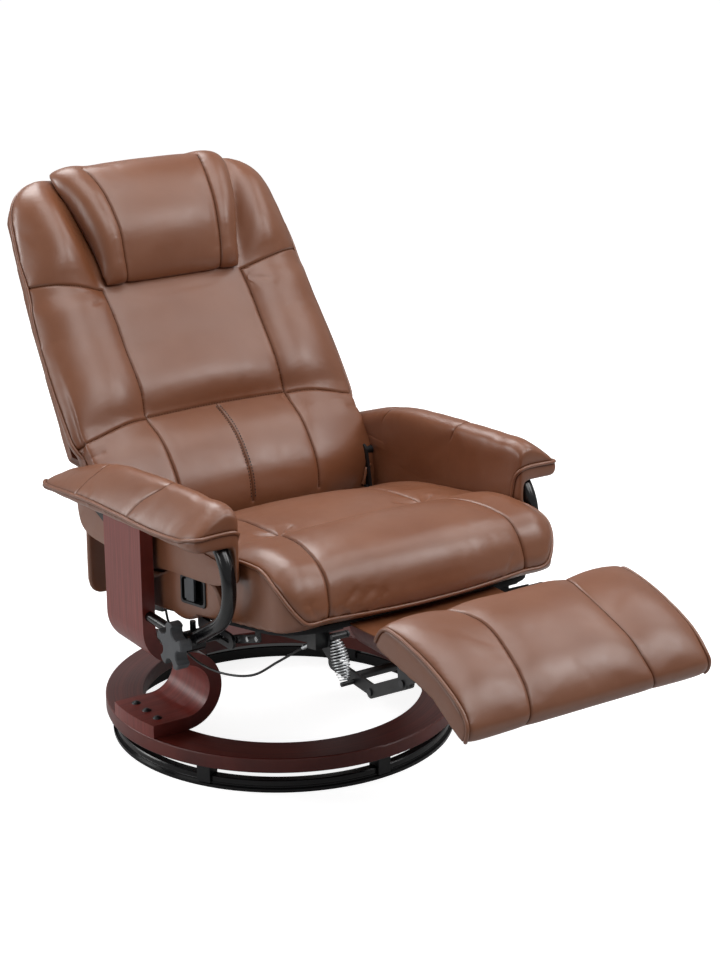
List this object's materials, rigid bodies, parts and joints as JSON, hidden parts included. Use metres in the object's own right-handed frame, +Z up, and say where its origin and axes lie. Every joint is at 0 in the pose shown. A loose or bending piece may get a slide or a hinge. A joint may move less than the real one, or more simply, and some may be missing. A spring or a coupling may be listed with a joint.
{
  "type": "swivel recliner",
  "caption": "Brown faux-leather recliner on a bent-wood ring base: it swivels, its seat slides as the back tilts, and a spring-loaded linkage folds the footrest under.",
  "frame": {"origin": "on the swivel axis, at the floor, in the middle of the steel floor ring", "axes": "+Z up, the sitter faces -Y, +X is the sitter's left"},
  "size_m": [0.7626, 1.5027, 0.9951],
  "materials": {
    "leather_brown": "brown faux leather, soft satin",
    "wood_mahogany": "bent plywood, mahogany stain, satin lacquer",
    "plywood_plain": "plain plywood, hidden",
    "steel_black": "black gloss powder coat",
    "steel_zinc": "bright zinc plate",
    "plastic_grey": "dark grey moulded nylon",
    "plastic_black": "black moulded plastic"
  },
  "bodies": {
    "floor": {"floor_ring": "steel_black"},
    "base": {"guide_shoes": "plastic_black", "wood_ring": "wood_mahogany", "side_plank_left": "wood_mahogany", "side_plank_right": "wood_mahogany", "plank_bolts": "steel_black", "arm_board_left": "plywood_plain", "arm_board_right": "plywood_plain", "arm_pad_left": "leather_brown", "arm_pad_right": "leather_brown", "arm_tube_left": "steel_black", "arm_tube_right": "steel_black", "clamp_bolts": "steel_zinc", "plank_bracket_left": "steel_black", "plank_bracket_right": "steel_black"},
    "knob_left": {"star_knob_left": "plastic_grey"},
    "knob_right": {"star_knob_right": "plastic_grey"},
    "seat": {"seat_cushion": "leather_brown", "seat_board": "plywood_plain", "seat_rail_left": "steel_black", "seat_rail_right": "steel_black", "seat_cross_tubes": "steel_black", "slide_plate_left": "steel_black", "slide_plate_right": "steel_black", "slide_braces": "steel_black", "brace_screws": "steel_zinc", "seat_lug_left": "steel_black", "seat_lug_right": "steel_black", "seat_pivot_pins": "steel_zinc", "arm_root_pins": "steel_zinc", "barrel_spring_left": "steel_zinc", "barrel_spring_right": "steel_zinc", "footrest_flap": "leather_brown", "side_pod": "leather_brown", "handle_bezel": "plastic_black", "paddle_axle": "steel_zinc", "release_cable": "plastic_black", "cable_ferrules": "steel_zinc", "latch_housing": "plastic_black"},
    "paddle": {"release_paddle": "plastic_grey"},
    "back": {"back_cushion": "leather_brown", "head_pillow": "leather_brown", "back_board": "plywood_plain", "back_cover": "leather_brown", "hinge_arm_left": "steel_black", "hinge_arm_right": "steel_black"},
    "skirt": {"rear_skirt": "leather_brown"},
    "lower_arms": {"lower_arm_left": "steel_black", "lower_arm_right": "steel_black", "arm_cross_bar": "steel_black", "arm_knee_pins": "steel_zinc"},
    "upper_arms": {"upper_arm_left": "steel_black", "upper_arm_right": "steel_black", "arm_end_pins": "steel_zinc"},
    "footrest": {"footrest_bracket_left": "steel_black", "footrest_bracket_right": "steel_black", "footrest_beam": "steel_black", "footrest_board": "plywood_plain", "footrest_cushion": "leather_brown"}
  },
  "joints": [
    {"name": "base_swivel", "type": "hinge", "parent": "floor", "child": "base", "pos_m": [0, 0, 0.04], "axis": [0, 0, 1], "continuous": true},
    {"name": "seat_slide", "type": "slide", "parent": "base", "child": "seat", "axis": [0, 1, 0], "range_m": [0, 0.03463]},
    {"name": "back_recline", "type": "hinge", "parent": "seat", "child": "back", "pos_m": [0, 0.112, 0.372], "axis": [1, 0, 0], "range_deg": [0, 25.01]},
    {"name": "skirt_hang", "type": "hinge", "parent": "back", "child": "skirt", "pos_m": [0, 0.281, 0.49187], "axis": [1, 0, 0], "range_deg": [-25.01, 0]},
    {"name": "footrest_fold", "type": "hinge", "parent": "seat", "child": "lower_arms", "pos_m": [0, -0.47, 0.322], "axis": [1, 0, 0], "range_deg": [0, 65], "stiffness_Nm_per_rad": 4, "springref_deg": -57.3, "deforming": ["barrel_spring_left", "barrel_spring_right", "footrest_flap"]},
    {"name": "footrest_knee", "type": "hinge", "parent": "lower_arms", "child": "upper_arms", "pos_m": [0, -0.59183, 0.31558], "axis": [1, 0, 0], "range_deg": [-135, 0]},
    {"name": "footrest_turn", "type": "hinge", "parent": "upper_arms", "child": "footrest", "pos_m": [0, -0.7, 0.372], "axis": [1, 0, 0], "range_deg": [0, 148]},
    {"name": "knob_turn_left", "type": "hinge", "parent": "base", "child": "knob_left", "pos_m": [0.35, -0.222, 0.307], "axis": [1, 0, 0], "continuous": true},
    {"name": "knob_turn_right", "type": "hinge", "parent": "base", "child": "knob_right", "pos_m": [-0.35, -0.222, 0.307], "axis": [1, 0, 0], "continuous": true},
    {"name": "paddle_pull", "type": "hinge", "parent": "seat", "child": "paddle", "pos_m": [-0.289, -0.164, 0.386], "axis": [0, 0, 1], "range_deg": [-25, 0], "stiffness_Nm_per_rad": 0.8, "springref_deg": 17.19}
  ],
  "couplings": [
    {"joint": "back_recline", "follows": "seat_slide", "rad_per_m": 12.6},
    {"joint": "skirt_hang", "follows": "seat_slide", "rad_per_m": -12.6},
    {"joint": "footrest_knee", "follows": "footrest_fold", "ratio": -2.0769},
    {"joint": "footrest_turn", "follows": "footrest_fold", "ratio": 2.2769}
  ]
}
